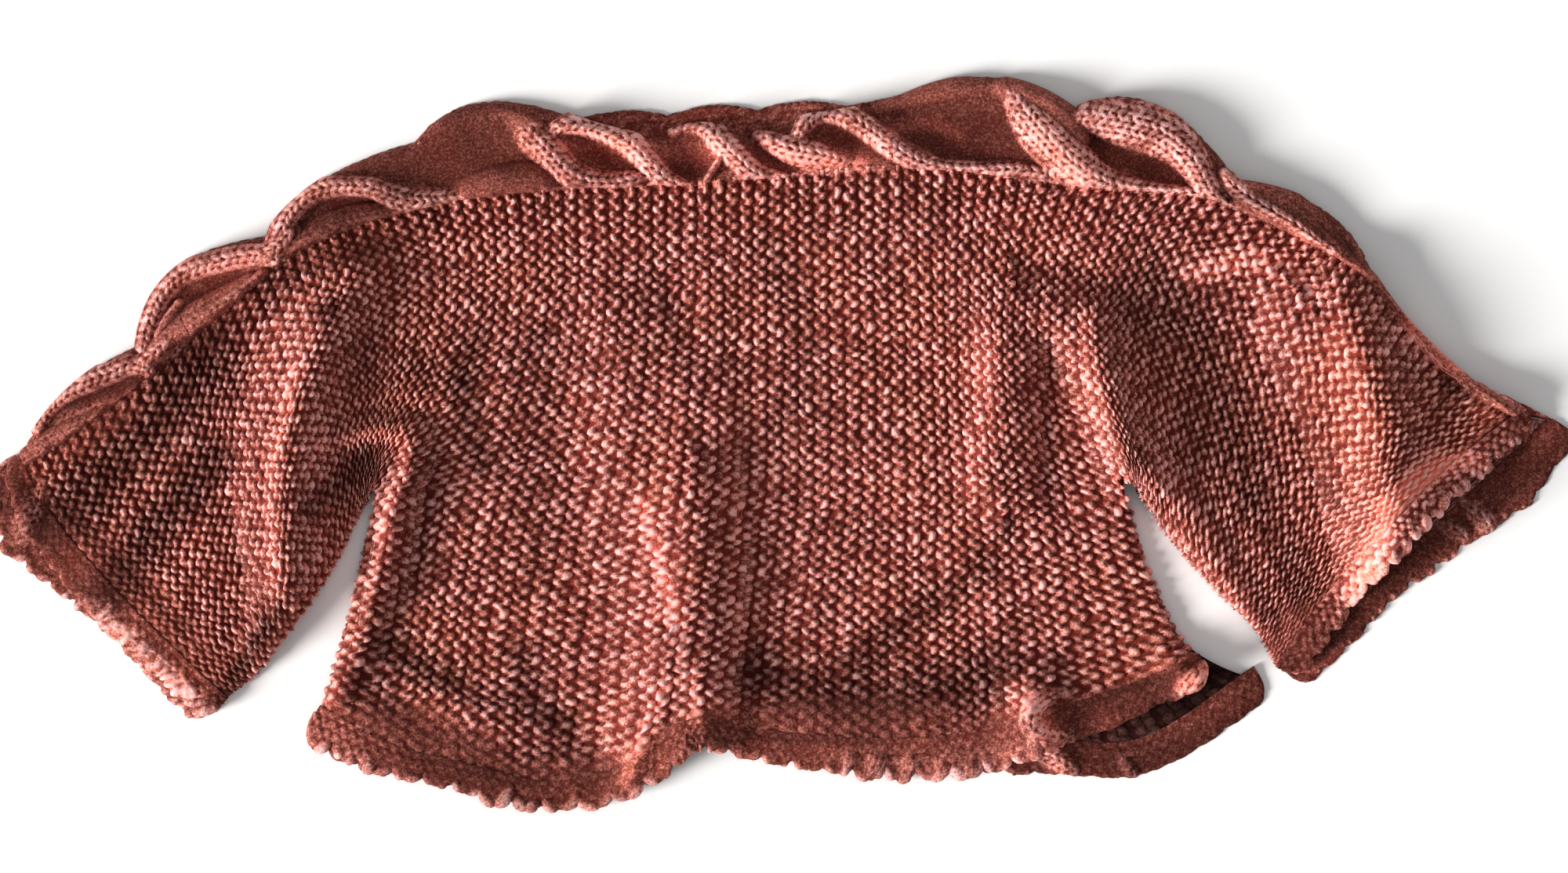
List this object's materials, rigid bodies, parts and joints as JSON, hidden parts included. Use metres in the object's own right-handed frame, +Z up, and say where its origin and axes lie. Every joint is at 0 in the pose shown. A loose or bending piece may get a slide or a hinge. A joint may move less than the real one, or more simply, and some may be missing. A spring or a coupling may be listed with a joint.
{
  "type": "cropped knitted sweater",
  "caption": "Child's cropped sweater knitted sideways in garter stitch, with a rope cable along its top edge and scalloped edgings, laid flat with its front up.",
  "frame": {"origin": "middle of the laid sweater's outline, on the surface that it lies on", "axes": "+X from the left cuff to the right one as they lie, +Y from the hem to the neck, +Z up off the surface"},
  "size_m": [0.6066, 0.2808, 0.021],
  "materials": {
    "garter": "heather rose wool, garter stitch",
    "cable": "heather rose wool, rope cable in stocking stitch",
    "edging": "heather rose wool, scalloped edging"
  },
  "bodies": {
    "root": {"back_panel": "garter", "front_panel": "garter", "back_cable_band": "cable", "front_cable_band": "cable", "back_hem_edging": "edging", "front_hem_edging": "edging", "left_cuff_edging_back": "edging", "left_cuff_edging_front": "edging", "right_cuff_edging_back": "edging", "right_cuff_edging_front": "edging"}
  },
  "joints": []
}
